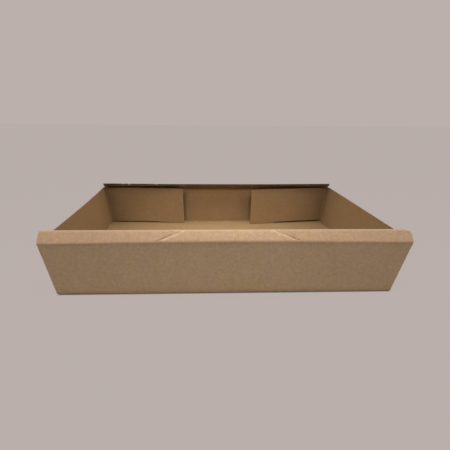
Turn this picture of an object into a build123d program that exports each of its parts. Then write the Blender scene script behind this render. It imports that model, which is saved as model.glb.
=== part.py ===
"""Open, flared tray folded from one die-cut sheet of thin kraft corrugated board.

The front and back walls end in a narrow rim that folds inwards and still rises.
The side walls turn the corners as flaps, which stand behind the front and back walls.
"""
import os
from math import acos, atan, cos, hypot, radians, sin

from build123d import *

# Base and walls, in millimetres
BASE_LENGTH = 360.0
BASE_DEPTH = 300.0
WALL_HEIGHT = 60.0
WALL_FLARE = 12.0
BOARD = 1.5
FOLD_RADIUS = 1.0

# Rims on the front and back walls: their width, their slopes in degrees, their rounded ends
RIM_WIDTH = 15.0
FRONT_RIM_RISE = 48.0
BACK_RIM_RISE = 28.0
RIM_CORNER_RADIUS = 2.5
WORN_CORNER_RADIUS = 6.5

# Corner flaps: they spring off the wall by an angle in degrees and stand on a foot
LEFT_FLAP_LENGTH = 123.0
RIGHT_FLAP_LENGTH = 126.5
FLAP_END_SLANT = 2.5
FLAP_FOOT_LENGTH = 42.0
FLAP_RELIEF = 1.3
FLAP_CLEARANCE = 0.3
LEFT_FLAP_SPRING = 5.0
RIGHT_FLAP_SPRING = 9.0

# Cuts in the sheet at the base's corners: a notch in the side fold, a clipped corner on the long wall
CORNER_NOTCH = 2.5
CORNER_CLIP = 1.2

# Slanting score that crosses each long wall and its rim, angle in degrees
SCORE_ANGLE = 30.0
SCORE_WIDTH = 2.0
SCORE_DEPTH = 0.6

# How far cutting shapes run past what they cut
OVERRUN = 20.0

# Sizes that follow from those above
HALF_LENGTH = BASE_LENGTH / 2
HALF_DEPTH = BASE_DEPTH / 2
TOP_HALF_LENGTH = HALF_LENGTH + WALL_FLARE
TOP_HALF_DEPTH = HALF_DEPTH + WALL_FLARE
OUTER_FOLD_RADIUS = FOLD_RADIUS + BOARD
WALL_LEAN = atan(WALL_FLARE / WALL_HEIGHT)
WALL_SLANT = hypot(WALL_FLARE, WALL_HEIGHT)
OVER_TOP = WALL_HEIGHT + RIM_WIDTH + OVERRUN
# Level distance from a long wall's outer face to the outer face of the flap behind it
FLAP_INSET = (BOARD + FLAP_CLEARANCE) / cos(WALL_LEAN)
FLAP_TOP = WALL_HEIGHT - BOARD
FLAP_BOTTOM = BOARD + FLAP_CLEARANCE


def flared(half_size, height):
    """How far out a wall's outer face stands at a height, from its half size at the base."""
    return half_size + WALL_FLARE * height / WALL_HEIGHT


def both_ways(right_half):
    """A line of points and its mirror image, from the left end to the right end."""
    return [(-across, height) for across, height in reversed(right_half)] + right_half


def rim_step(rise):
    """How far a rim goes in and up from its fold to its free edge, for its rise in degrees."""
    return RIM_WIDTH * cos(radians(rise)), RIM_WIDTH * sin(radians(rise))


def board_section(outer_line):
    """Face of folded board: its outer line with rounded folds, thickened to the inside."""
    outer = FilletPolyline(*outer_line, radius=OUTER_FOLD_RADIUS)
    return make_face(offset(outer, amount=BOARD, side=Side.LEFT).edges())


def cutting_block(plane, outline):
    """Prism through the whole tray that keeps what lies within an outline seen square to a plane."""
    face = plane * make_face(Polyline(*outline, close=True).edges())
    return extrude(face, amount=TOP_HALF_LENGTH + TOP_HALF_DEPTH, both=True)


def long_walls():
    """Base, front wall, back wall and both rims: one folded section cut to its flared ends."""
    front_in, front_up = rim_step(FRONT_RIM_RISE)
    back_in, back_up = rim_step(BACK_RIM_RISE)
    front_edge = (front_in - TOP_HALF_DEPTH, WALL_HEIGHT + front_up)
    back_edge = (TOP_HALF_DEPTH - back_in, WALL_HEIGHT + back_up)
    walls = both_ways([(HALF_DEPTH, 0), (TOP_HALF_DEPTH, WALL_HEIGHT)])
    section = board_section([front_edge] + walls + [back_edge])
    strip = extrude(Plane.YZ * section, amount=TOP_HALF_LENGTH + OVERRUN, both=True)
    clipped = HALF_LENGTH - CORNER_CLIP
    lower_corner = [(clipped, -OVERRUN), (clipped, 0), (flared(HALF_LENGTH, CORNER_CLIP), CORNER_CLIP)]
    upper_corner = [(TOP_HALF_LENGTH, WALL_HEIGHT), (TOP_HALF_LENGTH, OVER_TOP)]
    return strip & cutting_block(Plane.XZ, both_ways(lower_corner + upper_corner))


def rounded_rim_ends(walls):
    """Round the free corners of both rims, the front right one more, as it is worn."""
    for end in (-TOP_HALF_LENGTH, TOP_HALF_LENGTH):
        for is_front in (True, False):
            at_end = walls.edges().filter_by(lambda edge: abs(edge.center().X - end) < FLAP_CLEARANCE)
            on_rim = at_end.filter_by(lambda edge: (edge.center().Y < 0) == is_front)
            worn = is_front and end > 0
            walls = fillet(on_rim.sort_by(Axis.Z)[-1], WORN_CORNER_RADIUS if worn else RIM_CORNER_RADIUS)
    return walls


def side_walls():
    """Base and both side walls: one folded section, cut short of the corner bends."""
    section = board_section(both_ways([(HALF_LENGTH, 0), (flared(HALF_LENGTH, OVER_TOP), OVER_TOP)]))
    strip = extrude(Plane.XZ * section, amount=TOP_HALF_DEPTH + OVERRUN, both=True)
    end = HALF_DEPTH - FLAP_INSET - CORNER_NOTCH
    outline = [(end, -OVERRUN), (end, 0), (flared(end, WALL_HEIGHT), WALL_HEIGHT)]
    return strip & cutting_block(Plane.YZ, both_ways(outline))


def corner_flap(length, spring):
    """Right back corner: the side wall's end, bent round the leaning corner line into its flap."""
    foot = Vector(HALF_LENGTH, HALF_DEPTH - FLAP_INSET, 0)
    corner_line = Vector(WALL_FLARE, WALL_FLARE, WALL_HEIGHT).normalized()
    level = Vector(0, -1, 0)
    along_wall = (level - corner_line * level.dot(corner_line)).normalized()
    # Both walls lean out, so they meet at a little more than a right angle
    corner_angle = radians(180 - spring) - acos(sin(WALL_LEAN) ** 2)
    reach = length + WALL_FLARE + OVERRUN
    flap_end = (reach * cos(corner_angle), -reach * sin(corner_angle))
    wall_end = (OUTER_FOLD_RADIUS + CORNER_NOTCH, 0)
    across = Plane(foot, x_dir=along_wall, z_dir=corner_line)
    bent = extrude(across * board_section([wall_end, (0, 0), flap_end]), amount=reach, both=True)
    return bent & cutting_block(Plane.XZ, flap_outline(length))


def flap_outline(length):
    """Front view of a right flap: level top, slightly slanted free end, a foot at that end only."""
    free_end = HALF_LENGTH - length
    foot_end = free_end + FLAP_FOOT_LENGTH
    past_corner = TOP_HALF_LENGTH + OVERRUN
    relief_top = FLAP_BOTTOM + FLAP_RELIEF
    foot = [(free_end, FLAP_BOTTOM), (foot_end, FLAP_BOTTOM), (foot_end, relief_top)]
    upper_end = (free_end + FLAP_END_SLANT, FLAP_TOP)
    return foot + [(past_corner, relief_top), (past_corner, FLAP_TOP), upper_end]


def pressed_line(start, direction, normal, length):
    """Rod that presses a shallow round groove into a face, along a line on that face."""
    radius = (SCORE_WIDTH**2 / 4 + SCORE_DEPTH**2) / (2 * SCORE_DEPTH)
    axis = Plane(start + normal * (radius - SCORE_DEPTH), z_dir=direction)
    return axis * Cylinder(radius, length, align=(Align.CENTER, Align.CENTER, Align.MIN))


def slanting_score(rise):
    """Right front score: from the base's corner across the wall, then on across a rim of this rise."""
    run, climb = cos(radians(SCORE_ANGLE)), sin(radians(SCORE_ANGLE))
    inwards = Vector(-1, 0, 0)
    up_wall = Vector(0, -WALL_FLARE, WALL_HEIGHT).normalized()
    wall_normal = Vector(0, -WALL_HEIGHT, -WALL_FLARE).normalized()
    rim_in, rim_up = rim_step(rise)
    up_rim = Vector(0, rim_in, rim_up).normalized()
    rim_normal = Vector(0, -rim_up, rim_in).normalized()
    foot = Vector(HALF_LENGTH, -HALF_DEPTH, 0)
    on_wall = inwards * run + up_wall * climb
    on_rim = inwards * run + up_rim * climb
    wall_length = WALL_SLANT / climb
    at_fold = foot + on_wall * wall_length
    wall_groove = pressed_line(foot, on_wall, wall_normal, wall_length)
    return [wall_groove, pressed_line(at_fold, on_rim, rim_normal, RIM_WIDTH / climb)]


def with_mirrored(shapes, plane):
    """The given shapes and their mirror images about a plane."""
    return shapes + mirrored(shapes, plane)


def mirrored(shapes, plane):
    """Mirror images of the given shapes about a plane."""
    return [mirror(shape, about=plane) for shape in shapes]


def tray():
    """The whole folded sheet, with the base's underside on the ground."""
    left_flap = mirror(corner_flap(LEFT_FLAP_LENGTH, LEFT_FLAP_SPRING), about=Plane.YZ)
    back_flaps = [corner_flap(RIGHT_FLAP_LENGTH, RIGHT_FLAP_SPRING), left_flap]
    front_scores = with_mirrored(slanting_score(FRONT_RIM_RISE), Plane.YZ)
    back_scores = mirrored(with_mirrored(slanting_score(BACK_RIM_RISE), Plane.YZ), Plane.XZ)
    folded = rounded_rim_ends(long_walls()) + side_walls() + with_mirrored(back_flaps, Plane.XZ)
    return folded - (front_scores + back_scores)


os.makedirs("parts", exist_ok=True)
export_step(tray(), "parts/tray.step")
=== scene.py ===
# %% [markdown]
# # An open tray folded from one sheet of brown corrugated board
# The real tray is a single die-cut sheet: a base, two long walls that end in a narrow turned-in rim,
# two side walls, and four corner flaps that stand behind the long walls. The frame below brings in the
# measured solid, and every piece of this lesson is shaped around it, in metres, in the same place.

import math

import bmesh
import bpy
from mathutils import Matrix, Quaternion, Vector


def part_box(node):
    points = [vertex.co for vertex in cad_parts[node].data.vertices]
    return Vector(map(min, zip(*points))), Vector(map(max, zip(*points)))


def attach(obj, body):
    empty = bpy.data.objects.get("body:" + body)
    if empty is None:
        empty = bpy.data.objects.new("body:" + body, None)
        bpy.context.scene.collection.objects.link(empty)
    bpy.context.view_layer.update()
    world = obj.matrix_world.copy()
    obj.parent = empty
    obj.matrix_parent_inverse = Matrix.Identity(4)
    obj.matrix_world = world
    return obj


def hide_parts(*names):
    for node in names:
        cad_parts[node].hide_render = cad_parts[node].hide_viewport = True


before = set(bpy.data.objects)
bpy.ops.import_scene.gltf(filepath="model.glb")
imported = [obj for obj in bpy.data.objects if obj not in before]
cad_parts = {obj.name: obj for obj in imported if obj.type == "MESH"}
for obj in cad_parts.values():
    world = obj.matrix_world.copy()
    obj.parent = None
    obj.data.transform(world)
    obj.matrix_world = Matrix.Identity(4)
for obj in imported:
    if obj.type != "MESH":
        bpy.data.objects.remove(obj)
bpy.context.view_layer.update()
scene = bpy.context.scene
scene.view_settings.view_transform = "Standard"

# %% [markdown]
# ## Sizes of the folded sheet
# The overall length is read from the measured solid. The rest are the few sizes that a folder of card
# would ask for: how far the walls lean out, how thick the board is, how wide and how steep the rims are.
# Sizes that differ from front to back, or from left to right, are kept by -1 and 1, the side they are on.

# %% Sizes that the folds follow
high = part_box("tray")[1]
WALL_HEIGHT = 0.060
WALL_FLARE = 0.012
BASE_DEPTH = 0.300
BOARD = 0.0015
FOLD_RADIUS = 0.0025
RIM_WIDTH = 0.015
RIM_RISE = {-1: math.radians(48), 1: math.radians(28)}
FLAP_LENGTH = {-1: 0.123, 1: 0.1265}
FLAP_SPRING = {-1: math.radians(5), 1: math.radians(9)}
FLAP_END_SLANT = 0.0025
FLAP_FOOT_LENGTH = 0.042
FLAP_RELIEF = {-1: 0.0013, 1: 0.0020}
FLAP_CLEARANCE = 0.0003
CORNER_NOTCH = 0.0025
CORNER_CLIP = 0.0012

TOP_HALF_LENGTH = high.x
HALF_LENGTH = TOP_HALF_LENGTH - WALL_FLARE
HALF_DEPTH = BASE_DEPTH / 2
TOP_HALF_DEPTH = HALF_DEPTH + WALL_FLARE
WALL_LEAN = math.atan(WALL_FLARE / WALL_HEIGHT)
RIM_UP = {end: RIM_WIDTH * math.sin(rise) for end, rise in RIM_RISE.items()}
RIM_IN = {end: RIM_WIDTH * math.cos(rise) for end, rise in RIM_RISE.items()}
FLAP_INSET = (BOARD + FLAP_CLEARANCE) / math.cos(WALL_LEAN)
FLAP_TOP = WALL_HEIGHT - BOARD
FLAP_BOTTOM = BOARD + FLAP_CLEARANCE
RELIEF_TOP = {side: FLAP_BOTTOM + relief for side, relief in FLAP_RELIEF.items()}
SIDE_END = HALF_DEPTH - FLAP_INSET - CORNER_NOTCH
CORNERS = [(side, end) for side in (-1, 1) for end in (-1, 1)]


def flare(height):
    """How far a wall has leaned out at a height."""
    return WALL_FLARE * height / WALL_HEIGHT


print("Base", 2 * HALF_LENGTH, "by", BASE_DEPTH)
print("Front rim", round(RIM_IN[-1], 4), "in and", round(RIM_UP[-1], 4), "up")

# %% [markdown]
# ## Picking parts of the sheet
# Folding card by hand means taking hold of an edge and pulling a new panel out of it. In edit mode that
# starts with a selection. These helpers pick points, edges or faces by where they lie, because a place on
# the tray stays true when the number of cells changes, and an index doesn't.

# %% Small helpers that pick
NEAR = 1e-5


def near(value, target):
    """True where two places agree to a hundredth of a millimetre."""
    return abs(value - target) < NEAR


def pick(kind, test):
    """Select only the vertices, edges or faces that pass a test."""
    sheet = bpy.context.edit_object.data
    bpy.ops.mesh.select_mode(type=kind)
    bpy.ops.mesh.select_all(action="DESELECT")
    mesh = bmesh.from_edit_mesh(sheet)
    parts = {"VERT": mesh.verts, "EDGE": mesh.edges, "FACE": mesh.faces}[kind]
    chosen = [part for part in parts if test(part)]
    for part in chosen:
        part.select_set(True)
    mesh.select_flush_mode()
    bmesh.update_edit_mesh(sheet)
    return len(chosen)


def pick_edges(test):
    """Select the edges with both ends where the test says."""
    return pick("EDGE", lambda edge: all(test(vertex.co) for vertex in edge.verts))


def pick_faces(test):
    """Select the faces with every corner where the test says."""
    return pick("FACE", lambda face: all(test(vertex.co) for vertex in face.verts))


print("Places agree within", NEAR, "m")

# %% [markdown]
# ## Pulling and cutting
# What is picked can be pulled out into a new row of faces, stretched about the middle of the tray, or cut
# along a plane. The other helpers choose one object, go in and out of edit mode, count faces and apply a
# modifier.

# %% Small helpers that pull, stretch and cut
def pull(step):
    """Pull a new row of faces out of the selected edges."""
    bpy.ops.mesh.extrude_region_move(TRANSFORM_OT_translate={"value": tuple(step)})


def stretch(along_x, along_y):
    """Scale the selection about the middle of the tray."""
    bpy.ops.transform.resize(value=(along_x, along_y, 1), center_override=(0, 0, 0))


def cut(point, normal, drop_beyond=False):
    """Cut the selected faces along a plane, and drop what lies on the normal's side if asked."""
    square = Vector(normal).normalized()
    bpy.ops.mesh.bisect(plane_co=tuple(point), plane_no=square, clear_outer=drop_beyond, threshold=NEAR)


def alone(piece):
    """Leave one object selected and active."""
    bpy.ops.object.select_all(action="DESELECT")
    piece.select_set(True)
    bpy.context.view_layer.objects.active = piece


def switch_to(mode):
    """Go to edit mode or back to object mode."""
    bpy.ops.object.mode_set(mode=mode)


def face_count():
    """How many faces the sheet has while it is being edited."""
    return len(bmesh.from_edit_mesh(bpy.context.edit_object.data).faces)


def apply_modifier(piece, kind, **settings):
    """Add a modifier, set it and apply it."""
    alone(piece)
    modifier = piece.modifiers.new(kind.title(), kind)
    for name, value in settings.items():
        setattr(modifier, name, value)
    bpy.ops.object.modifier_apply(modifier=modifier.name)


print("Helpers ready")

# %% [markdown]
# ## The base
# The base is the flat middle of the sheet. A grid with cells of about 5 mm is used in place of one big
# face, because card is never dead flat and the later bow of the walls needs points to bend at. One row of
# points near each end is moved to where the side walls stop, a few millimetres short of the corners.

# %% Lay the base of the sheet
GRID_STEP = 0.005

bpy.ops.object.select_all(action="DESELECT")
bpy.ops.mesh.primitive_grid_add(
    x_subdivisions=round(2 * HALF_LENGTH / GRID_STEP), y_subdivisions=round(BASE_DEPTH / GRID_STEP), size=2)
tray = bpy.context.object
tray.name = "folded_tray"
switch_to("EDIT")
stretch(HALF_LENGTH, HALF_DEPTH)
last_row = HALF_DEPTH - GRID_STEP
for end in (-1, 1):
    pick("VERT", lambda vertex: near(vertex.co.y, end * last_row))
    bpy.ops.transform.translate(value=(0, end * (SIDE_END - last_row), 0))
print("Base faces:", face_count())

# %% [markdown]
# ## Long walls and rims
# The front and back walls lean out as they rise, so each new row is pulled up and out and then made a
# little longer. At the top the board is folded in again: the rim is three more pulls that lean inwards and
# still climb. Pulling straight to the folded place is simpler than turning panels about slanted folds.

# %% Pull up the long walls and turn in their rims
WALL_ROWS = 12
RIM_ROWS = 3


def raise_long_wall(end):
    """Pull one long wall and its rim out of the base's edge."""
    pick_edges(lambda place: near(place.y, end * HALF_DEPTH) and near(place.z, 0))
    rise = WALL_HEIGHT / WALL_ROWS
    for row in range(WALL_ROWS):
        pull((0, end * flare(rise), rise))
        stretch((HALF_LENGTH + flare(rise * (row + 1))) / (HALF_LENGTH + flare(rise * row)), 1)
    for row in range(RIM_ROWS):
        pull((0, -end * RIM_IN[end] / RIM_ROWS, RIM_UP[end] / RIM_ROWS))


for end in (-1, 1):
    raise_long_wall(end)
print("Faces with long walls:", face_count())

# %% [markdown]
# ## Side walls
# The side walls are pulled out of the base's short edges in the same way, but only between the two rows of
# points that were moved, so a small notch stays open at each corner, as the die leaves it. Two of the
# levels lie where the corner flaps will start and stop.

# %% Pull up the side walls
SIDE_ROWS = 11


def raise_side_wall(side):
    """Pull one side wall out of the base's edge, row by row."""
    def on_short_edge(place):
        return near(place.x, side * HALF_LENGTH) and abs(place.y) < SIDE_END + NEAR and near(place.z, 0)

    pick_edges(on_short_edge)
    start = RELIEF_TOP[side]
    spacing = (FLAP_TOP - start) / SIDE_ROWS
    levels = [0] + [start + spacing * row for row in range(SIDE_ROWS + 1)] + [WALL_HEIGHT]
    for lower, upper in zip(levels, levels[1:]):
        pull((side * flare(upper - lower), 0, upper - lower))
        stretch(1, (SIDE_END + flare(upper)) / (SIDE_END + flare(lower)))


for side in (-1, 1):
    raise_side_wall(side)
print("Faces with side walls:", face_count())

# %% [markdown]
# ## Corner flaps
# Each side wall carries on round the corner as a flap that stands behind the long wall. Card springs
# back, so a flap doesn't lie flat: it leaves the wall by a few degrees, more on the right. It stands on
# a short foot near its free end, which is cut at a slight slant, and the rest of its lower edge is
# trimmed a little higher. First come the lines and planes that a flap follows.

# %% Work out where the flaps lie
FREE_END = {side: HALF_LENGTH - length for side, length in FLAP_LENGTH.items()}
FOOT_END = {side: start + FLAP_FOOT_LENGTH for side, start in FREE_END.items()}


def corner_line(side, end):
    """Direction in which a corner of the flared tray climbs."""
    return Vector((side * WALL_FLARE, end * WALL_FLARE, WALL_HEIGHT)).normalized()


def flap_run(side, end):
    """Level direction in which a flap leaves its corner."""
    climb = corner_line(side, end)
    sprung = Quaternion(climb, side * end * FLAP_SPRING[side]) @ Vector((-side, 0, 0))
    return (sprung - climb * (sprung.z / climb.z)).normalized()


def fold_place(side, end, height):
    """Place on the fold between a side wall and its flap, before it curls."""
    flared = flare(height)
    return Vector((side * (HALF_LENGTH + flared), end * (SIDE_END + CORNER_NOTCH + flared), height))


def flap_end_normal(side):
    """Direction in which a flap's free end looks, square to its slanted cut."""
    return Vector((side * (FLAP_BOTTOM - FLAP_TOP), 0, FLAP_END_SLANT)).normalized()


def past_flap_end(place, side):
    """How far a place lies beyond the plane of a flap's slanted free end."""
    lower_corner = Vector((side * FREE_END[side], 0, FLAP_BOTTOM))
    return (place - lower_corner).dot(flap_end_normal(side))


def behind_long_wall(place):
    """How far a place lies inside the long wall's outer face."""
    return HALF_DEPTH + flare(place.z) - abs(place.y)


for side, end in CORNERS:
    print("Flap", side, end, "leaves its corner along", [round(part, 3) for part in flap_run(side, end)])

# %% [markdown]
# ## Bending the flaps
# A flap is pulled out of its side wall's end in steps of one cell, a little too long. Two cuts then bring
# it to length and mark its foot, and the foot is pulled down from its lower edge. Cutting after pulling
# keeps the cells square, whatever the slant of the free end.

# %% Bend the corner flaps
FLAP_ROOM = 0.025


def on_flap(side, end):
    """Test for places on one flap, clear of its corner and no further off the wall than it springs."""
    def test(place):
        inside = behind_long_wall(place) > BOARD and place.y * end > SIDE_END - FLAP_ROOM
        level = RELIEF_TOP[side] - NEAR < place.z < FLAP_TOP + NEAR
        return inside and level and 0 < place.x * side < HALF_LENGTH - GRID_STEP

    return test


def bend_flap(side, end):
    """Pull one flap out of its side wall's end, cut it to length and give it its foot."""
    def on_wall_end(place):
        upright = RELIEF_TOP[side] - NEAR < place.z < FLAP_TOP + NEAR
        outer = near(place.x, side * (HALF_LENGTH + flare(place.z)))
        return upright and outer and near(place.y, end * (SIDE_END + flare(place.z)))

    def at_foot(place):
        return near(place.z, RELIEF_TOP[side]) and abs(place.x) < FOOT_END[side] + NEAR

    pick_edges(on_wall_end)
    pull((0, end * CORNER_NOTCH, 0))
    run = flap_run(side, end)
    columns = round((FLAP_LENGTH[side] + WALL_FLARE) / GRID_STEP) + 1
    for column in range(columns):
        pull(run * GRID_STEP)
    flap = on_flap(side, end)
    pick_faces(flap)
    cut((side * FREE_END[side], 0, FLAP_BOTTOM), flap_end_normal(side), drop_beyond=True)
    pick_faces(flap)
    cut((side * FOOT_END[side], 0, 0), (-side, 0, 0))
    pick_edges(lambda place: flap(place) and at_foot(place))
    climb = corner_line(side, end)
    pull(climb * (-FLAP_RELIEF[side] / climb.z))


for side, end in CORNERS:
    bend_flap(side, end)
print("Faces with flaps:", face_count())

# %% [markdown]
# ## Side walls that creep in
# Card gives way where nothing holds it. The left side wall has crept in a little half way along, and at the
# corners both side walls curl in towards their flaps, more the higher up. So each point is moved level, in
# the direction of its flap, by an amount that grows with its height. A flap only slides in its own plane.

# %% Curl the ends of the side walls
CURL = {-1: 0.006, 1: 0.008}
CURL_REACH = 0.014
SLIDE_REACH = 0.035
CREEP = {-1: 0.0022, 1: 0.0}


def wall_creep(place, side):
    """How far a side wall moves in at a place near its top: half way along, and at its ends."""
    from_fold = SIDE_END + CORNER_NOTCH + flare(place.z) - abs(place.y)
    half_way = max(1 - (place.y / HALF_DEPTH) ** 2, 0)
    return CURL[side] * max(1 - from_fold / CURL_REACH, 0) ** 2 + CREEP[side] * half_way


def flap_slide(place, side):
    """How far a flap slides at a place near its top, from all the curl at its fold to nothing."""
    from_fold = HALF_LENGTH + flare(place.z) - abs(place.x)
    return CURL[side] * max(1 - from_fold / SLIDE_REACH, 0)


def curl_corner(side, end):
    """Move the points of one half of a side wall, and of its flap."""
    sheet = bmesh.from_edit_mesh(tray.data)
    run = flap_run(side, end)
    moved = 0
    for vertex in sheet.verts:
        place = vertex.co
        in_quarter = place.x * side > 0 and (place.y > -NEAR) == (end > 0)
        upright = 0 < place.z < WALL_HEIGHT + NEAR and behind_long_wall(place) > BOARD
        if in_quarter and upright:
            on_wall = near(place.x, side * (HALF_LENGTH + flare(place.z)))
            amount = wall_creep(place, side) if on_wall else flap_slide(place, side)
            vertex.co = place + run * amount * place.z / WALL_HEIGHT
            moved += amount > 0
    bmesh.update_edit_mesh(tray.data)
    return moved


print("Points moved:", [curl_corner(side, end) for side, end in CORNERS])

# %% [markdown]
# ## The rims' rounded ends
# The die leaves the rims' free corners a little round, and the two at the front are worn rounder.
# Rounding is done with a few straight cuts that nibble the corner, as a file would, because that works on
# any grid however the cells happen to fall.

# %% Round the rims' ends
RIM_CORNER_RADIUS = 0.0025
WORN_CORNER_RADIUS = {-1: 0.0042, 1: 0.0065}
NIBBLES = 6


def up_rim(end):
    """Direction in which a rim climbs from its fold to its free edge."""
    return Vector((0, -end * RIM_IN[end], RIM_UP[end])).normalized()


def rim_tip(side, end):
    """Free corner of a rim, on its outer face."""
    return Vector((side * TOP_HALF_LENGTH, end * (TOP_HALF_DEPTH - RIM_IN[end]), WALL_HEIGHT + RIM_UP[end]))


def round_rim_corner(side, end):
    """Nibble one free corner of a rim round."""
    radius = WORN_CORNER_RADIUS[side] if end < 0 else RIM_CORNER_RADIUS
    outwards = Vector((side, 0, 0))
    middle = rim_tip(side, end) - (outwards + up_rim(end)) * radius
    for nibble in range(NIBBLES):
        angle = math.radians(90) * (nibble + 0.5) / NIBBLES
        normal = outwards * math.cos(angle) + up_rim(end) * math.sin(angle)
        pick_faces(lambda place: place.z > WALL_HEIGHT - NEAR and place.y * end > 0 and place.x * side > 0)
        cut(middle + normal * radius, normal, drop_beyond=True)


for side, end in CORNERS:
    round_rim_corner(side, end)
print("Faces with rounded rims:", face_count())

# %% [markdown]
# ## Nicks in the back rim
# The back rim's free edge was knocked down in three places near its left end. Each nick has its place along
# the rim and its depth. Two cuts fence off a few millimetres of the edge, a third marks the middle, and the
# point there is pushed down.

# %% Knock the nicks into the back rim
NICKS = {-0.1585: 0.0010, -0.1490: 0.0022, -0.1030: 0.0012}
NICK_HALF_WIDTH = 0.0022


def nick_rim(middle, depth):
    """Push one small nick into the back rim's free edge."""
    for shift in (-NICK_HALF_WIDTH, 0, NICK_HALF_WIDTH):
        pick_faces(lambda place: place.z > WALL_HEIGHT - NEAR and place.y > 0)
        cut((middle + shift, 0, 0), (1, 0, 0))
    tip = rim_tip(1, 1)
    tip.x = middle
    pick("VERT", lambda vertex: (vertex.co - tip).length < NEAR)
    bpy.ops.transform.translate(value=(0, 0, -depth))


for middle, depth in NICKS.items():
    nick_rim(middle, depth)
print("Nicks:", len(NICKS))

# %% [markdown]
# ## Rounded folds
# Corrugated board can't be folded to a knife edge: the outer paper goes round a small radius. Bevelling
# each fold gives that round, and a bevel's width follows from the radius and the angle of the fold. It must
# stay narrower than the faces beside the fold, or they would turn inside out.

# %% Round the folds
FOLD_SEGMENTS = 5
WIDEST_BEVEL = 0.9 * CORNER_NOTCH


def round_fold(turn, test):
    """Bevel the edges along a fold, for a board that turns by this angle there."""
    count = pick_edges(test)
    width = min(FOLD_RADIUS * math.tan(turn / 2), WIDEST_BEVEL)
    bpy.ops.mesh.bevel(offset=width, offset_type="OFFSET", segments=FOLD_SEGMENTS, affect="EDGES")
    print("Rounded a fold of", count, "edges turning", round(math.degrees(turn), 1), "degrees")


def corner_turn(side, end):
    """Angle by which the board turns from a side wall into its flap."""
    climb = corner_line(side, end)
    wall, flap = (run - climb * run.dot(climb) for run in (Vector((0, end, 0)), flap_run(side, end)))
    return wall.angle(flap)


def on_corner_fold(side, end):
    """Test for places on the fold between a side wall and its flap."""
    run = flap_run(side, end)

    def test(place):
        fold = fold_place(side, end, place.z)
        return (fold + run * wall_creep(fold, side) * place.z / WALL_HEIGHT - place).length < NEAR

    return test


BASE_TURN = math.radians(90) - WALL_LEAN
for end in (-1, 1):
    rim_turn = math.radians(90) + WALL_LEAN - RIM_RISE[end]
    round_fold(rim_turn, lambda place: near(place.z, WALL_HEIGHT) and near(place.y, end * TOP_HALF_DEPTH))
round_fold(BASE_TURN, lambda place: near(place.z, 0) and near(abs(place.y), HALF_DEPTH))
round_fold(BASE_TURN, lambda place: near(place.z, 0) and near(abs(place.x), HALF_LENGTH))
for side, end in CORNERS:
    round_fold(corner_turn(side, end), on_corner_fold(side, end))

# %% [markdown]
# ## Trimmed lower corners
# The die also clips the lower corners of the long walls, so that they don't catch in the side folds. At
# the front right it ran a little askew and took a long sliver off the wall's end in place of the clip.
# This is done after the folds are round, with one slanting cut across the base, the fold and the wall.

# %% Trim the lower corners
WALL_TRIM = 0.0022
CLIP_RUN = CORNER_CLIP + flare(CORNER_CLIP)
TRIM_REACH = 0.015


def in_notch(place, side, end):
    """True for places in the open notch between a side wall's fold and the long wall."""
    past_folds = place.x * side > HALF_LENGTH - FOLD_RADIUS and place.y * end > SIDE_END - NEAR
    return past_folds and place.z < FOLD_RADIUS and behind_long_wall(place) > BOARD


def trim_corner(side, end, inset, rise, run):
    """Cut one end of a long wall along a line that starts a little in and climbs by rise over run."""
    def beside_notch(place):
        on_wall = near(place.z, 0) or behind_long_wall(place) < BOARD
        near_corner = place.x * side > HALF_LENGTH - TRIM_REACH and place.z < WALL_HEIGHT - FOLD_RADIUS
        return on_wall and near_corner and place.y * end > SIDE_END - NEAR

    pick_faces(beside_notch)
    start = Vector((side * (HALF_LENGTH - inset), 0, 0))
    outwards = Vector((side * rise, 0, -run)).normalized()
    cut(start, outwards)
    # The side wall shares a point with this corner, so only the corner's own faces are deleted
    pick_faces(lambda place: beside_notch(place) and (place - start).dot(outwards) > -NEAR)
    bpy.ops.mesh.delete(type="FACE")
    # Bevelling the side fold has closed the open notch with a fan of small faces, which go too
    pick_faces(lambda place: in_notch(place, side, end))
    bpy.ops.mesh.delete(type="FACE")


trim_corner(1, -1, WALL_TRIM, WALL_HEIGHT, WALL_FLARE + WALL_TRIM)
for side, end in ((-1, -1), (-1, 1), (1, 1)):
    trim_corner(side, end, CORNER_CLIP, CORNER_CLIP, CLIP_RUN)
print("Faces with trimmed corners:", face_count())

# %% [markdown]
# ## Slanting scores
# A crease runs from each lower corner up the long wall at thirty degrees and on across the rim. It is a
# line pressed into the board, so three cuts are made side by side, and then the middle one is pushed in,
# deeper on the rim, where the fold has opened it. The lower side of the groove is the wider one. The folds
# are round by now, and the score is only marked on the flat stretches between them. It fades out towards
# the rim's free edge.

# %% Press the slanting scores in
SCORE_ANGLE = math.radians(30)
SCORE_ABOVE = 0.0014
SCORE_BELOW = 0.0020
WALL_SCORE_DEPTH = 0.0002
RIM_SCORE_DEPTH = 0.0010
SCORE_FADE = 0.010
TINY_GAP = 0.00005


def score_lines(side, end):
    """Start, direction down across it, inward normal and depth of a score, on the wall and on the rim."""
    inwards = Vector((-side, 0, 0))
    up_wall = Vector((0, end * WALL_FLARE, WALL_HEIGHT))
    foot = Vector((side * HALF_LENGTH, end * HALF_DEPTH, 0))
    fold = foot + up_wall + inwards * up_wall.length / math.tan(SCORE_ANGLE)
    panels = (foot, up_wall.normalized(), WALL_SCORE_DEPTH), (fold, up_rim(end), RIM_SCORE_DEPTH)
    for start, climb, depth in panels:
        normal = Vector((end, 0, 0)).cross(climb)
        line = inwards * math.cos(SCORE_ANGLE) + climb * math.sin(SCORE_ANGLE)
        crossing = line.cross(normal)
        yield start, crossing * -math.copysign(1, crossing.dot(climb)), normal, depth


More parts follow.
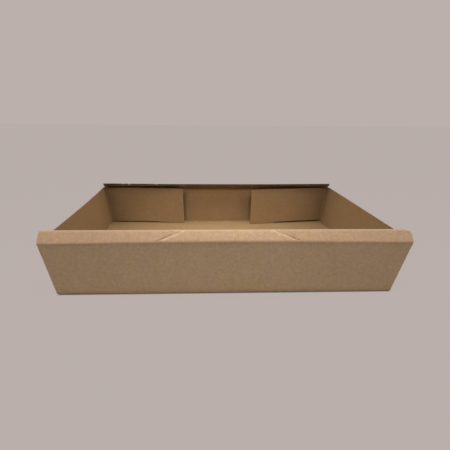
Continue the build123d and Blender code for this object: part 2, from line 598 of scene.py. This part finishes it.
def press_score(side, end):
    """Cut three lines side by side along a score, above the base's fold, and push the middle one in."""
    def above_fold(place):
        return place.x * side > 0 and place.z > WALL_HEIGHT / WALL_ROWS - NEAR

    def share_of_depth(place):
        return min((rim_tip(side, end) - place).dot(up_rim(end)) / SCORE_FADE, 1)

    for start, crossing, normal, depth in score_lines(side, end):
        for shift in (-SCORE_ABOVE, 0, SCORE_BELOW):
            pick_faces(lambda place: above_fold(place) and near((place - start).dot(normal), 0))
            cut(start + crossing * shift, crossing)
        pick("VERT", lambda vertex: above_fold(vertex.co) and near((vertex.co - start).dot(normal), 0)
             and near((vertex.co - start).dot(crossing), 0))
        for vertex in bmesh.from_edit_mesh(tray.data).verts:
            if vertex.select:
                vertex.co += normal * depth * share_of_depth(vertex.co)


for side, end in CORNERS:
    press_score(side, end)
bpy.ops.mesh.select_all(action="SELECT")
bpy.ops.mesh.remove_doubles(threshold=TINY_GAP)
bpy.ops.mesh.dissolve_degenerate(threshold=TINY_GAP)
print("Faces with scores:", face_count())
switch_to("OBJECT")

# %% [markdown]
# ## A painted highlight along the rims' free edges and scores
# The paper is painted paler along the rims' free edges and along the lower lip of their scores, as a painted
# highlight.
# The sheet will still be bent, so these lines are marked now, with a number at each point that the finish
# can read later: 1 on the line and 0 elsewhere. Between two points the number fades by itself.

# %% Mark the rims' free edges and scores
HIGHLIGHT_REACH = 0.0022


def on_score_lip(place, side, end):
    """True for places on the lower line of a score, on the rim."""
    start, crossing, normal = list(score_lines(side, end))[1][:3]
    across = (place - start).dot(crossing) - SCORE_BELOW
    return abs(across) < TINY_GAP and abs((place - start).dot(normal)) < TINY_GAP


marks = tray.data.attributes.new("painted_highlight", "FLOAT", "POINT")
marked = 0
for vertex in tray.data.vertices:
    side, end = (1 if part > 0 else -1 for part in vertex.co.xy)
    below_edge = (rim_tip(side, end) - vertex.co).dot(up_rim(end))
    on_line = below_edge < HIGHLIGHT_REACH or on_score_lip(vertex.co, side, end)
    pale = vertex.co.z > WALL_HEIGHT and on_line
    marks.data[vertex.index].value = 1.0 if pale else 0.0
    marked += pale
print("Marked", marked, "points")

# %% [markdown]
# ## Board thickness
# So far the sheet has no thickness. Material slots are made first: the inner paper of the panels whose
# flutes run front to back, the inner paper of the side walls and flaps, whose flutes lie level, the same
# two for the outer paper, which is paler because the inner tones are darkened as painted shade, and one for
# cut edges. The Solidify modifier thickens the sheet to the inside, and its two material offsets sort the
# new faces into the right slots.

# %% Thicken the sheet
SIDE_SLOT = 1
OUTER_SLOTS = 2
EDGE_SLOT = 4


def is_side_board(face):
    """True for a face of a side wall or a flap."""
    place = face.calc_center_median()
    upright = abs(face.normal.z) < math.cos(BASE_TURN / 2)
    past_fold = abs(place.x) > HALF_LENGTH - FOLD_RADIUS and abs(place.y) < SIDE_END + flare(place.z)
    return place.z < WALL_HEIGHT and behind_long_wall(place) > BOARD and (upright or past_fold)


alone(tray)
for slot in range(EDGE_SLOT + 1):
    bpy.ops.object.material_slot_add()
switch_to("EDIT")
side_faces = pick("FACE", is_side_board)
tray.active_material_index = SIDE_SLOT
bpy.ops.object.material_slot_assign()
switch_to("OBJECT")
apply_modifier(tray, "SOLIDIFY", thickness=BOARD, offset=1,
               material_offset=OUTER_SLOTS, material_offset_rim=EDGE_SLOT)
print("Side faces:", side_faces, "faces when thick:", len(tray.data.polygons))

# %% [markdown]
# ## Cut edges
# A cut edge of corrugated board shows two thin papers with a hollow between them. Insetting the edge
# faces leaves the two papers standing, and the strip between is sunk. Where the cut goes across the
# flutes, at the rims' free edges and the flaps' ends, the strip is sunk further to make room for them.

# %% Sink the middle of the cut edges
LINER = 0.00025
EDGE_SINK = 0.0005
FLUTE_SINK = 0.0018
STRAIGHT_ON = 0.95


def is_rim_edge(face, end):
    """True for the sunk strip along a rim's free edge."""
    sunk = (face.calc_center_median() - rim_tip(1, end)).dot(up_rim(end)) < -EDGE_SINK / 2
    return face.material_index == EDGE_SLOT and face.normal.dot(up_rim(end)) > STRAIGHT_ON and sunk


def is_flap_edge(face, side, end):
    """True for the sunk strip along a flap's free end."""
    place = face.calc_center_median()
    sunk = -GRID_STEP < past_flap_end(place, side) < -EDGE_SINK / 2
    in_quarter = place.y * end > 0 and place.x * side > 0
    return face.material_index == EDGE_SLOT and face.normal.x * side < -STRAIGHT_ON and sunk and in_quarter


switch_to("EDIT")
edge_faces = pick("FACE", lambda face: face.material_index == EDGE_SLOT)
bpy.ops.mesh.inset(thickness=LINER, depth=-EDGE_SINK, use_even_offset=False)
for end in (-1, 1):
    rim_faces = pick("FACE", lambda face: is_rim_edge(face, end))
    bpy.ops.transform.translate(value=tuple(up_rim(end) * (EDGE_SINK - FLUTE_SINK)))
    print("Rim strip faces sunk:", rim_faces)
for side, end in CORNERS:
    flap_faces = pick("FACE", lambda face: is_flap_edge(face, side, end))
    bpy.ops.transform.translate(value=tuple(flap_run(side, end) * (EDGE_SINK - FLUTE_SINK)))
    print("Flap strip faces sunk:", flap_faces)
switch_to("OBJECT")
print("Edge faces:", edge_faces)

# %% [markdown]
# ## Flutes
# Between the two papers runs a wavy one. One wave is drawn as a ribbon, pulled along a sine in eight
# steps, then an Array modifier repeats it and Solidify gives it a paper's thickness. A wave of a few
# faces is enough, because a rim shows more than a hundred of them.

# %% Draw one flute and repeat it in a row
FLUTE_PITCH = 0.0032
FLUTE_STEPS = 8
FLUTE_PAPER = 0.0002
FLUTE_REST = 0.0002
FLUTE_SWING = BOARD / 2 - LINER - FLUTE_PAPER / 2


def flute_row(name, length, start, along, depth, thick):
    """A row of flutes from a start point: along the cut, into the board, across its thickness."""
    waves = int(length / FLUTE_PITCH)
    step = FLUTE_PITCH / FLUTE_STEPS
    swing = [FLUTE_SWING * math.sin(math.tau * count / FLUTE_STEPS) for count in range(FLUTE_STEPS + 1)]
    bpy.ops.object.select_all(action="DESELECT")
    bpy.ops.mesh.primitive_plane_add(size=1)
    row = bpy.context.object
    row.name = name
    switch_to("EDIT")
    bpy.ops.transform.resize(value=(step, FLUTE_SINK - FLUTE_REST, 1))
    bpy.ops.transform.translate(value=(step / 2, (FLUTE_SINK + FLUTE_REST) / 2, 0))
    pick_edges(lambda place: near(place.x, step))
    bpy.ops.transform.translate(value=(0, 0, swing[1]))
    for count in range(1, FLUTE_STEPS):
        pull((step, 0, swing[count + 1] - swing[count]))
    switch_to("OBJECT")
    apply_modifier(row, "ARRAY", count=waves, use_relative_offset=False, use_constant_offset=True,
                   constant_offset_displace=(FLUTE_PITCH, 0, 0), use_merge_vertices=True)
    apply_modifier(row, "SOLIDIFY", thickness=FLUTE_PAPER, offset=0)
    spare = (length - waves * FLUTE_PITCH) / 2
    turned = Matrix((along, depth, thick)).transposed().to_4x4()
    row.matrix_world = Matrix.Translation(start + along * spare) @ turned
    alone(row)
    bpy.ops.object.transform_apply(location=True, rotation=True, scale=True)
    switch_to("EDIT")
    bpy.ops.mesh.select_all(action="SELECT")
    bpy.ops.mesh.normals_make_consistent(inside=False)
    switch_to("OBJECT")
    print(name, "has", waves, "flutes and", len(row.data.polygons), "faces")
    return row


print("One flute is", FLUTE_PITCH, "long and swings by", round(FLUTE_SWING, 5))

# %% [markdown]
# ## Flutes in the cut edges
# A row of flutes goes into each cut that crosses them: the free edges of both rims and the free ends of the
# four flaps. Each row is told where it starts and which way the cut, the depth and the thickness run, so
# it needs no turning by hand. The back rim's row is cleared out of the nicks, where the card is crushed.

# %% Line the cut edges with flutes
def rim_flutes(end):
    """The flutes that show along a rim's free edge."""
    along = Vector((1, 0, 0))
    thick = along.cross(up_rim(end)) * end
    start = rim_tip(-1, end) + along * WORN_CORNER_RADIUS[1] + thick * BOARD / 2
    length = 2 * (TOP_HALF_LENGTH - WORN_CORNER_RADIUS[1])
    name = "front_rim_flutes" if end < 0 else "back_rim_flutes"
    return flute_row(name, length, start, along, -up_rim(end), thick)


def flap_flutes(side, end):
    """The flutes that show along a flap's free end."""
    climb = corner_line(side, end)
    run = flap_run(side, end)
    bottom = RELIEF_TOP[side]
    rise = climb * ((FLAP_TOP - bottom) / climb.z)
    slant = FLAP_END_SLANT * (FLAP_TOP - bottom) / (FLAP_TOP - FLAP_BOTTOM)
    edge = rise + run * ((side * slant - rise.x) / run.x)
    along = edge.normalized()
    thick = along.cross(run).normalized()
    thick *= -math.copysign(1, thick.y * end)
    depth = along.cross(thick)
    depth *= -math.copysign(1, depth.dot(run))
    corner = fold_place(side, end, bottom)
    start = corner + run * (past_flap_end(corner, side) / -run.dot(flap_end_normal(side)))
    name = ("front" if end < 0 else "back") + ("_left" if side < 0 else "_right") + "_flap_flutes"
    return flute_row(name, edge.length, start + thick * BOARD / 2, along, depth, thick)


def clear_nicks(row):
    """Take a row's flutes out of the nicks and close their ends."""
    alone(row)
    switch_to("EDIT")
    pick("FACE", lambda face: any(
        abs(face.calc_center_median().x - middle) < NICK_HALF_WIDTH for middle in NICKS))
    bpy.ops.mesh.delete(type="FACE")
    bpy.ops.mesh.select_all(action="SELECT")
    bpy.ops.mesh.fill_holes(sides=4)
    switch_to("OBJECT")


front_row = rim_flutes(-1)
back_row = rim_flutes(1)
clear_nicks(back_row)
flutes = [front_row, back_row] + [flap_flutes(side, end) for side, end in CORNERS]
print("Rows of flutes:", len(flutes))

# %% [markdown]
# ## The bow of the long walls
# The long walls aren't quite straight: half way along, where no flap holds them, they have crept inwards
# by a few millimetres, and the rims' free edges hang a little lower there. A lattice bends the sheet and
# its flutes together, as a hand would press the card. Its levels are about a centimetre apart, so the last
# but one lies at the fold under the rim and the last at the rim's free edge.

# %% Bow the long walls with a lattice
BOW = {-1: 0.0045, 1: 0.0020}
LIFT = {-1: 0.0005, 1: 0.0}
SAG = {-1: 0.0013, 1: 0.0018}
BOW_SHARES = (0, 0.8, 1, 0.8, 0)
LEVELS = 8


def bend_lattice(lattice, end):
    """Move one long side of the lattice: in towards the middle, up at the fold, down at the free edge."""
    grid = lattice.data
    row = 0 if end < 0 else 1
    for level in range(LEVELS):
        share_of_fold = min(level / (LEVELS - 2), 1)
        rise = -SAG[end] if level == LEVELS - 1 else LIFT[end] * share_of_fold
        for column, share in enumerate(BOW_SHARES):
            point = grid.points[column + len(BOW_SHARES) * (row + 2 * level)]
            point.co_deform.y -= end * share * share_of_fold * BOW[end] / (2 * TOP_HALF_DEPTH)
            point.co_deform.z += share * rise / high.z


bpy.ops.object.select_all(action="DESELECT")
bpy.ops.object.add(type="LATTICE", location=(0, 0, high.z / 2))
lattice = bpy.context.object
lattice.data.points_u = len(BOW_SHARES)
lattice.data.points_v = 2
lattice.data.points_w = LEVELS
lattice.data.interpolation_type_u = "KEY_BSPLINE"
lattice.data.interpolation_type_v = "KEY_LINEAR"
lattice.data.interpolation_type_w = "KEY_LINEAR"
lattice.scale = (2 * TOP_HALF_LENGTH, 2 * TOP_HALF_DEPTH, high.z)
for end in (-1, 1):
    bend_lattice(lattice, end)
bpy.context.view_layer.update()
for piece in [tray] + flutes:
    apply_modifier(piece, "LATTICE", object=lattice)
bpy.data.objects.remove(lattice)
print("Bowed", 1 + len(flutes), "pieces")

# %% [markdown]
# ## Wiring for finishes
# A finish is a network of nodes. This small class wraps a socket, so that sums can be written as sums: each
# plus, minus, times or divide sign adds one Math node.

# %% A wire that takes part in sums
class Wire:
    """A number that flows through a finish: sums on it add Math nodes."""

    def __init__(self, finish, socket):
        self.finish = finish
        self.socket = socket

    def maths(self, operation, first, second=0.0):
        return self.finish.node("ShaderNodeMath", {"operation": operation}, {0: first, 1: second})

    def __add__(self, other):
        return self.maths("ADD", self, other)

    def __sub__(self, other):
        return self.maths("SUBTRACT", self, other)

    def __rsub__(self, other):
        return self.maths("SUBTRACT", other, self)

    def __mul__(self, other):
        return self.maths("MULTIPLY", self, other)

    def __truediv__(self, other):
        return self.maths("DIVIDE", self, other)

    __radd__ = __add__
    __rmul__ = __mul__

    def sine(self):
        return self.maths("SINE", self)

    def raised(self, power):
        return self.maths("POWER", self, power)

    def limited(self):
        """The value kept between 0 and 1."""
        return self.finish.node("ShaderNodeClamp", {}, {"Value": self})


print("Wires ready")

# %% [markdown]
# ## A finish in the making
# A second class holds the material and adds its nodes. One method makes any node: it sets the node's options
# first, because some sockets depend on them, and then fills the sockets with values or wires. The others
# are short names for nodes that are needed more than once. Colours are written as a picture editor gives
# them.

# %% A finish that adds its own nodes
class Finish:
    """A material in the making: node() sets a new node's settings first and then fills its sockets."""

    def __init__(self, name, tree=None):
        if tree is None:
            self.material = bpy.data.materials.new(name)
            self.material.use_nodes = True
            tree = self.material.node_tree
        self.tree = tree
        self.tree.nodes.clear()

    def node(self, kind, settings, sockets, output=0):
        made = self.tree.nodes.new(kind)
        for name, value in settings.items():
            setattr(made, name, value)
        for name, value in sockets.items():
            if isinstance(value, Wire):
                self.tree.links.new(value.socket, made.inputs[name])
            else:
                made.inputs[name].default_value = value
        return Wire(self, made.outputs[output]) if made.outputs else None

    def blend(self, factor, first, second):
        """Mix two colours."""
        return self.node("ShaderNodeMix", {"data_type": "RGBA"}, {0: factor, 6: first, 7: second}, output=2)

    def tinted(self, first, second):
        """Multiply two colours."""
        settings = {"data_type": "RGBA", "blend_type": "MULTIPLY"}
        return self.node("ShaderNodeMix", settings, {0: 1.0, 6: first, 7: second}, output=2)

    def vector(self, operation, place, other=(0, 0, 0), output=0):
        """One step of maths on places."""
        return self.node("ShaderNodeVectorMath", {"operation": operation}, {0: place, 1: other}, output)

    def along(self, place, axis):
        """How far along an axis a place lies."""
        return self.vector("DOT_PRODUCT", place, axis, output="Value")

    def in_one_quarter(self, place):
        """Places without their signs, so that one quarter of the tray stands for all four."""
        return self.vector("ABSOLUTE", place)

    def noise(self, place, size, detail=2):
        """Soft random patches of about a size in metres, as values around zero."""
        sockets = {"Vector": place, "Scale": 1 / size, "Detail": detail}
        return self.node("ShaderNodeTexNoise", {}, sockets) - 0.5

    def stretched(self, place, factors):
        """Places squeezed along each axis, which draws a pattern out along the others."""
        return self.vector("MULTIPLY", place, factors)

    def finish_with(self, shader):
        self.node("ShaderNodeOutputMaterial", {}, {"Surface": shader})
        return self.material


def srgb(red, green, blue):
    """A colour as a picture editor gives it, 0 to 255, made linear for the shader."""
    def linear(part):
        share = part / 255
        return share / 12.92 if share <= 0.04045 else ((share + 0.055) / 1.055) ** 2.4

    return (linear(red), linear(green), linear(blue), 1)


print("Finishes can be wired")

# %% [markdown]
# ## Where shade is painted on the paper
# The outer paper is painted darker close to the folds above and below the walls, as painted shade. The inner
# paper is painted darker in the upright corners, on the flaps and just below the rims, as painted shade, and
# beside the flaps' free ends, as painted shadow. Each function below gives how far the paper is darkened at
# a place. They read Object coordinates, so the shade stays put on the board from any side, and most are
# squared or cubed, to fade softly.

# %% Work out where the paper is darker
ACROSS_LONG = (1, 0, 0)
ACROSS_SIDE = (0, 0, 1)
# Painted shade on the outer paper close to the folds above and below the walls
FOLD_SHADE_TOP = 0.0596
FOLD_SHADE_REACH = 0.0075
FOLD_SHADE_EDGE = 0.0008
UPPER_FOLD_SHADE = 0.18
LOWER_FOLD_SHADE = 0.30
# Painted shade in the four upright corners
CORNER_REACH = 0.085
CORNER_SHADE = 0.36
# Painted shade below the rims and on the flaps, and painted shadow beside the flaps' free ends
RIM_SHADE_REACH = 0.015
WALL_SHADE_DEPTH = 0.020
RIM_SHADE = 0.35
FLAP_SHADE = 0.08
GAP_SHADE = 0.35
GAP_FADE = 0.005


def fold_shade(height):
    """How far painted shade darkens the outer paper near the folds, from its height over the ground."""
    drop = FOLD_SHADE_TOP - height
    upper = (1 - drop / FOLD_SHADE_REACH).limited()
    lower = (1 - height / FOLD_SHADE_REACH).limited()
    under_fold = upper * upper * (drop / FOLD_SHADE_EDGE).limited()
    return under_fold * UPPER_FOLD_SHADE + lower * lower * lower * LOWER_FOLD_SHADE


def beside_long_walls(finish, place, height, across):
    """How far painted shade darkens the inner paper near the long walls: below the rims, on the flaps, and
    as painted shadow beside the flaps' ends.
    """
    folded = finish.in_one_quarter(place)
    beside = ((finish.along(folded, (0, 1, 0)) - HALF_DEPTH) / WALL_SHADE_DEPTH + 1).limited()
    high_up = (1 - (WALL_HEIGHT - height) / RIM_SHADE_REACH).limited()
    # Painted shade just below the rims
    under_rim = high_up * high_up * RIM_SHADE
    if across == ACROSS_SIDE:
        return beside * (under_rim + FLAP_SHADE)
    # Painted shadow on the long walls behind and beside the flaps' free ends
    between_flaps = ((FREE_END[-1] - finish.along(folded, (1, 0, 0))) / GAP_FADE).limited()
    above_base = ((height - BOARD) / FOLD_RADIUS).limited()
    gap = (1 - between_flaps) * above_base * (1 - high_up)
    return beside * (under_rim * between_flaps + gap * GAP_SHADE)


def in_upright_corner(finish, place):
    """How far painted shade darkens the inner paper in the four corners, fading out along the boards."""
    corner = (HALF_LENGTH + WALL_FLARE / 2, HALF_DEPTH + WALL_FLARE / 2, 0)
    offset = finish.vector("SUBTRACT", finish.in_one_quarter(place), corner)
    level = finish.stretched(offset, (1, 1, 0))
    distance = finish.vector("LENGTH", level, output="Value")
    closeness = (1 - distance / CORNER_REACH).limited()
    return closeness * closeness * CORNER_SHADE


print("Dark places ready")

# %% [markdown]
# ## Brown kraft paper
# Kraft liner is brown paper with long fibres: soft clouds where the pulp lay thicker, a fine mottle, thin
# streaks along the paper's run, and a few dark flecks. Under it the flutes show as very faint stripes.
# The rims are handled most, so the mottle is stronger there. Their free edges carry a painted highlight, and
# their insides are painted paler and greyer, painted light that lifts their shade. Here are the sizes of
# these patterns in metres, then how strongly each one shows, then the colours, the paler one of each pair
# first.

# %% Choose the paper's patterns and colours
CLOUD_SIZE = 0.030
TINT_SIZE = 0.012
MOTTLE_SIZE = 0.0035
GRAIN_SIZE = 0.0011
STREAK_LENGTH = 0.006
STREAK_WIDTH = 0.0006
FLECK_CELL = 0.0045
FLECK_SIZE = 0.0005
RELIEF_DEPTH = 0.00006

MID_TONE = 0.5
CLOUD_TONE = 0.5
RIM_MOTTLE = 0.4
GRAIN_TONE = 1.1
STREAK_TONE = 0.7
STRIPE_TONE = 0.02
FLECK_TONE = 0.5
TINT_SWING = 2
HIGHLIGHT_FADE = 3
HIGHLIGHT_SHARE = 0.9
RIM_SHADE_LIFT = 0.6
GRAIN_RELIEF = 0.6
STREAK_RELIEF = 0.8
STRIPE_RELIEF = 0.25
ROUGHNESS = 0.82
ROUGHNESS_SWING = 0.2
SPECULAR = 0.25

BLACK = (0, 0, 0, 1)
YELLOWER = srgb(254, 252, 241)
REDDER = srgb(254, 249, 254)
# Colour of the painted highlight along the rims' free edges and score lips
EDGE_HIGHLIGHT = srgb(246, 211, 172)
# Colour of the painted light that lifts the shade on the inside of the rims
LIFTED_SHADE = srgb(162, 165, 152)
OUTER_TONES = srgb(228, 191, 154), srgb(201, 165, 130)
# The inner tones are darker than the outer ones, as painted shade for the inside of the tray
SHADED_INNER_TONES = srgb(189, 156, 113), srgb(165, 134, 95)
CUT_TONES = srgb(206, 170, 130), srgb(150, 118, 84)
FLUTE_TONES = srgb(184, 148, 110), srgb(140, 108, 76)
print("Patterns from", GRAIN_SIZE, "to", CLOUD_SIZE, "m")

# %% [markdown]
# ## Wiring the paper
# All the patterns are added up to one tone, which slides between a deep and a pale brown, and a slow tint
# makes some patches yellower and some redder. Then come the painted highlight, the painted light under the
# rims and the painted shade. Grain, streaks and stripes also give the paper a faint relief. One function
# makes all
# six finishes: the long panels and the side boards differ in which way their flutes run, and inside and
# outside in their tones, the inner ones darker as painted shade, and in their painted light and shade.

# %% Make the kraft finishes
def kraft(name, pale, deep, across, outside=False):
    """Kraft paper between two tones, with its flutes running across one axis."""
    finish = Finish(name)
    place = finish.node("ShaderNodeTexCoord", {}, {}, output="Object")
    height = finish.along(place, (0, 0, 1))
    run = tuple(1 / (STREAK_LENGTH if part else STREAK_WIDTH) for part in across)
    clouds = finish.noise(place, CLOUD_SIZE, detail=3)
    tint = finish.noise(place, TINT_SIZE)
    mottle = finish.noise(place, MOTTLE_SIZE, detail=3)
    grain = finish.noise(place, GRAIN_SIZE)
    streaks = finish.noise(finish.stretched(place, run), size=1)
    stripes = (finish.along(place, across) * (math.tau / FLUTE_PITCH)).sine()
    near_fleck = finish.node("ShaderNodeTexVoronoi", {}, {"Vector": place, "Scale": 1 / FLECK_CELL})
    flecks = (1 - near_fleck * (FLECK_CELL / FLECK_SIZE)).limited()
    on_rim = ((height - WALL_HEIGHT) / FOLD_RADIUS).limited()
    fine = mottle * (1 + on_rim * RIM_MOTTLE) + grain * GRAIN_TONE + streaks * STREAK_TONE
    tone = MID_TONE + clouds * CLOUD_TONE + fine + stripes * STRIPE_TONE - flecks * FLECK_TONE
    colour = finish.blend(tone.limited(), deep, pale)
    tinting = finish.blend((tint * TINT_SWING + MID_TONE).limited(), YELLOWER, REDDER)
    colour = finish.tinted(colour, tinting)
    if outside:
        # Painted highlight along the rims' free edges and the lower lips of their scores
        painted_highlight = finish.node("ShaderNodeAttribute", {"attribute_name": "painted_highlight"}, {}, output="Fac")
        colour = finish.blend(painted_highlight.raised(HIGHLIGHT_FADE) * HIGHLIGHT_SHARE, colour, EDGE_HIGHLIGHT)
        # Painted shade close to the folds above and below the walls
        colour = finish.blend(fold_shade(height), colour, BLACK)
    else:
        # Painted light: the inside of the rims is made paler and greyer, lifting their shade
        colour = finish.blend(on_rim * RIM_SHADE_LIFT, colour, LIFTED_SHADE)
        # Painted shade in the four upright corners
        colour = finish.blend(in_upright_corner(finish, place), colour, BLACK)
        # Painted shade below the rims and on the flaps, and painted shadow beside the flaps' free ends
        colour = finish.blend(beside_long_walls(finish, place, height, across), colour, BLACK)
    relief = grain * GRAIN_RELIEF + streaks * STREAK_RELIEF + stripes * STRIPE_RELIEF
    bump = finish.node("ShaderNodeBump", {}, {"Strength": 1, "Distance": RELIEF_DEPTH, "Height": relief})
    roughness = ROUGHNESS + mottle * ROUGHNESS_SWING
    sockets = {"Base Color": colour, "Roughness": roughness, "Specular IOR Level": SPECULAR, "Normal": bump}
    return finish.finish_with(finish.node("ShaderNodeBsdfPrincipled", {}, sockets))


outer_long = kraft("outer_kraft_long", *OUTER_TONES, ACROSS_LONG, outside=True)
outer_side = kraft("outer_kraft_side", *OUTER_TONES, ACROSS_SIDE, outside=True)
inner_long = kraft("inner_kraft_long", *SHADED_INNER_TONES, ACROSS_LONG)
inner_side = kraft("inner_kraft_side", *SHADED_INNER_TONES, ACROSS_SIDE)
cut_paper = kraft("cut_paper", *CUT_TONES, ACROSS_LONG)
flute_paper = kraft("flute_paper", *FLUTE_TONES, ACROSS_LONG)
for slot, material in enumerate((inner_long, inner_side, outer_long, outer_side, cut_paper)):
    tray.material_slots[slot].material = material
for row in flutes:
    row.data.materials.append(flute_paper)
print("Finishes:", [material.name for material in bpy.data.materials])

# %% [markdown]
# ## Smooth folds
# Shading by angle keeps the rounded folds smooth and the cut edges crisp.

# %% Shade the board
SMOOTH_ANGLE = math.radians(35)

for piece in [tray] + flutes:
    alone(piece)
    bpy.ops.object.shade_smooth_by_angle(angle=SMOOTH_ANGLE)
print("Shaded", 1 + len(flutes), "pieces")

# %% [markdown]
# ## Floor
# The tray stands in a plain warm-grey studio. The floor is a real surface that takes the tray's shadow,
# but what the camera sees of it is mostly the backdrop's own colour, so floor and backdrop run together.
# Close under the tray an Ambient Occlusion node darkens it to a thin line of contact shadow. Light that
# bounces meets a paler table top, which brightens the walls from below.

# %% Build the floor
BACKDROP = srgb(187, 176, 172)
TABLE = srgb(212, 218, 215)
CONTACT = srgb(84, 72, 62)
CONTACT_REACH = 0.0021
CONTACT_FADE = 1.5
FLOOR_SIZE = 8
FLOOR_SHADE = 0.04
FLOOR_GAP = 0.0003

bpy.ops.object.select_all(action="DESELECT")
bpy.ops.mesh.primitive_plane_add(size=FLOOR_SIZE, location=(0, 0, -FLOOR_GAP))
floor = bpy.context.object
floor.name = "studio_floor"


def seen(finish):
    """One where the camera, a reflection or clear material looks, and zero for light that bounces."""
    rays = [finish.node("ShaderNodeLightPath", {}, {}, output=f"Is {kind} Ray")
            for kind in ("Camera", "Glossy", "Transmission")]
    return (rays[0] + rays[1] + rays[2]).limited()


floor_finish = Finish("studio_floor")
table = floor_finish.node("ShaderNodeBsdfDiffuse", {}, {"Color": TABLE})
matt = floor_finish.node("ShaderNodeBsdfDiffuse", {}, {"Color": BACKDROP})
open_sky = floor_finish.node("ShaderNodeAmbientOcclusion", {}, {"Distance": CONTACT_REACH}, output="AO")
floor_colour = floor_finish.blend(open_sky.raised(CONTACT_FADE), CONTACT, BACKDROP)
glow = floor_finish.node("ShaderNodeEmission", {}, {"Color": floor_colour, "Strength": 1.0})
shown = floor_finish.node("ShaderNodeMixShader", {}, {0: FLOOR_SHADE, 1: glow, 2: matt})
look = floor_finish.node("ShaderNodeMixShader", {}, {0: seen(floor_finish), 1: table, 2: shown})
floor.data.materials.append(floor_finish.finish_with(look))
print("Floor", FLOOR_SIZE, "m wide in", [round(part, 3) for part in BACKDROP[:3]])

# %% [markdown]
# ## Backdrop
# The world has two jobs, so it is two backgrounds with a switch between them: the camera sees the same plain
# grey as on the floor, and the tray is lit by a weak white that comes evenly from all sides.

# %% Build the backdrop
AMBIENT = 0.065

scene.world = bpy.data.worlds.new("studio")
scene.world.use_nodes = True
sky = Finish("studio", scene.world.node_tree)
plain = sky.node("ShaderNodeBackground", {}, {"Color": BACKDROP, "Strength": 1.0})
ambient = sky.node("ShaderNodeBackground", {}, {"Color": (1, 1, 1, 1), "Strength": AMBIENT})
both = sky.node("ShaderNodeMixShader", {}, {0: seen(sky), 1: ambient, 2: plain})
sky.node("ShaderNodeOutputWorld", {}, {"Surface": both})
print("Ambient light", AMBIENT)

# %% [markdown]
# ## Lamps
# A wide soft lamp hangs in front of the tray and above it, and lights the front wall, the rim and most of
# the inside. Two small lamps with a narrow spread make the two brightest places: the middle of the front
# rim and the middle of the base. The last one hangs over the back wall and fills the inside.

# %% Hang the lamps
def hang_lamp(name, place, width, depth, spread, power):
    """An area lamp that shines straight down, its spread in degrees and its power in watts."""
    bpy.ops.object.light_add(type="AREA", location=place)
    lamp = bpy.context.object
    lamp.name = name
    lamp.data.shape = "RECTANGLE"
    lamp.data.size = width
    lamp.data.size_y = depth
    lamp.data.spread = math.radians(spread)
    lamp.data.energy = power
    print(name, power, "W at", place)


hang_lamp("front_lamp", place=(0, -0.30, 0.45), width=1.50, depth=0.20, spread=180, power=2.62)
hang_lamp("rim_lamp", place=(0, -0.05, 0.42), width=0.12, depth=0.12, spread=46, power=0.095)
hang_lamp("base_lamp", place=(0, 0.10, 0.60), width=0.15, depth=0.15, spread=50, power=0.115)
hang_lamp("back_lamp", place=(0, 0.22, 0.50), width=0.20, depth=0.20, spread=180, power=0.40)

# %% [markdown]
# ## Camera
# The camera looks at the long side from just above the rim, so the front wall hides most of the base.
# It was placed by matching the corners of the walls and rims, and it has a little roll, as a hand gives.

# %% Place the camera
CAMERA_PLACE = (-0.02837, -0.58555, 0.19409)
CAMERA_HEADING = math.radians(-3.200)
CAMERA_TILT = math.radians(90 - 15.200)
CAMERA_ROLL = math.radians(0.656)
SENSOR_WIDTH = 36.0
LENS_SHARE = 0.9753

bpy.ops.object.camera_add(location=CAMERA_PLACE)
camera = bpy.context.object
turned = Matrix.Rotation(CAMERA_HEADING, 4, "Z") @ Matrix.Rotation(CAMERA_TILT, 4, "X")
camera.matrix_world = Matrix.Translation(CAMERA_PLACE) @ turned @ Matrix.Rotation(CAMERA_ROLL, 4, "Z")
camera.data.sensor_width = SENSOR_WIDTH
camera.data.lens = LENS_SHARE * SENSOR_WIDTH
scene.camera = camera
print("Camera at", CAMERA_PLACE, "with a lens of", round(camera.data.lens, 2), "mm")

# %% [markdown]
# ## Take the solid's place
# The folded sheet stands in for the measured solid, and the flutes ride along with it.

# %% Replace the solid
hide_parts("tray")
for piece in [tray] + flutes:
    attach(piece, "root")
